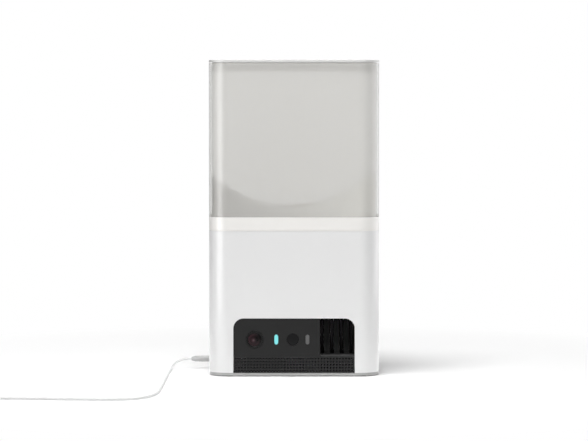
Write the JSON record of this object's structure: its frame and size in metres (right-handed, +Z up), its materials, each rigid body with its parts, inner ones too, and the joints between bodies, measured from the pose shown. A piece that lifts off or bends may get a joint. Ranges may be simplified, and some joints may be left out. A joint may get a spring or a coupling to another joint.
{
  "type": "treat tossing pet camera",
  "caption": "Free-standing pet camera that tosses treats: see-through container with lift-off lid, metering wheel, swinging thrower, dark camera panel and power lead.",
  "frame": {"origin": "middle of the footprint, on the surface that the feet stand on", "axes": "+Z up, -Y out of the front with the lens and the treat opening, +X to the right seen from the front"},
  "size_m": [0.3505, 0.2521, 0.269],
  "materials": {
    "shell_white": "satin moulded plastic",
    "base_grey": "fine matte plastic",
    "foot_rubber": "matte rubber",
    "screw_steel": "zinc plated steel",
    "inner_plastic": "plain moulded plastic",
    "collar_milky": "milky satin plastic",
    "container_smoke": "smoky see-through plastic",
    "hopper_grey": "smooth moulded plastic",
    "wheel_orange": "moulded plastic",
    "gear_white": "moulded acetal",
    "gear_brass": "turned brass",
    "shaft_steel": "ground steel",
    "motor_steel": "drawn steel can",
    "chamber_black": "fine matte plastic",
    "thrower_grey": "moulded plastic",
    "panel_dark": "dark glossy plastic",
    "ring_black": "black gloss ring",
    "lens_glass": "coated glass",
    "barrel_black": "matte black",
    "board_green": "solder mask over fibreglass",
    "chip_black": "moulded packages",
    "light_teal": "lit clear plastic",
    "sensor_dark": "dark infrared window",
    "pill_grey": "grey diffusing window",
    "speaker_dark": "moulded frame",
    "cone_paper": "treated paper cone",
    "chassis_grey": "moulded plastic",
    "antenna_copper": "etched copper strip",
    "spring_steel": "spring wire",
    "button_grey": "moulded plastic",
    "lid_grey": "satin moulded plastic",
    "plug_inner_grey": "smoky moulded plastic",
    "gasket_clear": "silicone",
    "plug_grey": "moulded plastic",
    "cord_white": "smooth sheath",
    "tie_black": "hook and loop strap",
    "usb_white": "moulded plug with a plated shell"
  },
  "bodies": {
    "housing": {"body_shell": "shell_white", "base_plate": "base_grey", "base_feet": "foot_rubber", "base_screws": "screw_steel", "feed_deck": "inner_plastic", "collar": "collar_milky", "collar_screws": "screw_steel", "container": "container_smoke", "hopper_floor": "hopper_grey", "wheel_cover": "inner_plastic", "metering_housing": "inner_plastic", "wheel_axle": "shaft_steel", "feed_motor": "motor_steel", "drop_chute": "inner_plastic", "launch_chamber": "chamber_black", "gear_plate": "chassis_grey", "gear_plate_screws": "screw_steel", "thrower_spring": "spring_steel", "drive_gear_pin": "shaft_steel", "throw_motor": "motor_steel", "chassis": "chassis_grey", "front_panel": "panel_dark", "speaker_grille": "panel_dark", "lens_ring": "ring_black", "lens_glass": "lens_glass", "lens_barrel": "barrel_black", "camera_board": "board_green", "light_pipe": "light_teal", "led_board": "board_green", "sensor_window": "sensor_dark", "pill_window": "pill_grey", "speaker_frame": "speaker_dark", "speaker_cone": "cone_paper", "speaker_magnet": "motor_steel", "main_board": "board_green", "board_chips": "chip_black", "board_screws": "screw_steel", "antenna": "antenna_copper", "power_jack": "chip_black", "button_spring": "spring_steel", "power_plug": "plug_grey", "power_cord": "cord_white", "cord_coil": "cord_white", "cord_tail": "cord_white", "cord_tie": "tie_black", "usb_plug": "usb_white"},
    "lid": {"lid_cap": "lid_grey", "lid_plug": "plug_inner_grey", "lid_gasket": "gasket_clear", "lid_screws": "screw_steel"},
    "wheel": {"metering_wheel": "wheel_orange"},
    "feed_drive": {"feed_pinion": "gear_white", "feed_motor_shaft": "shaft_steel"},
    "thrower": {"thrower": "thrower_grey", "thrower_shaft": "shaft_steel", "sector_gear": "gear_white"},
    "throw_gear": {"drive_gear": "gear_white"},
    "throw_drive": {"throw_pinion": "gear_brass", "throw_motor_shaft": "shaft_steel"},
    "button": {"setup_button": "button_grey"}
  },
  "joints": [
    {"name": "lid_lift", "type": "slide", "parent": "housing", "child": "lid", "axis": [0, 0, 1], "range_m": [0, 0.14]},
    {"name": "wheel_turn", "type": "hinge", "parent": "housing", "child": "wheel", "pos_m": [0.01825, 0, 0.13], "axis": [0, 0, 1], "continuous": true},
    {"name": "feed_pinion_turn", "type": "hinge", "parent": "housing", "child": "feed_drive", "pos_m": [-0.01575, 0, 0.128], "axis": [0, 0, 1], "continuous": true},
    {"name": "thrower_swing", "type": "hinge", "parent": "housing", "child": "thrower", "pos_m": [0.03675, 0.008, 0.014], "axis": [1, 0, 0], "range_deg": [0, 48], "stiffness_Nm_per_rad": 0.01, "springref_deg": -11.46},
    {"name": "drive_gear_turn", "type": "hinge", "parent": "housing", "child": "throw_gear", "pos_m": [0.01475, 0.018, 0.03132], "axis": [1, 0, 0], "range_deg": [-72, 0]},
    {"name": "throw_pinion_turn", "type": "hinge", "parent": "housing", "child": "throw_drive", "pos_m": [0.01255, 0.00241, 0.04032], "axis": [1, 0, 0], "range_deg": [0, 144]},
    {"name": "button_press", "type": "slide", "parent": "housing", "child": "button", "axis": [0, -1, 0], "range_m": [0, 0.001], "stiffness_N_per_m": 200, "deforming": ["button_spring"]}
  ],
  "couplings": [
    {"joint": "feed_pinion_turn", "follows": "wheel_turn", "ratio": -4.6667},
    {"joint": "drive_gear_turn", "follows": "thrower_swing", "ratio": -1.5},
    {"joint": "throw_pinion_turn", "follows": "thrower_swing", "ratio": 3}
  ]
}
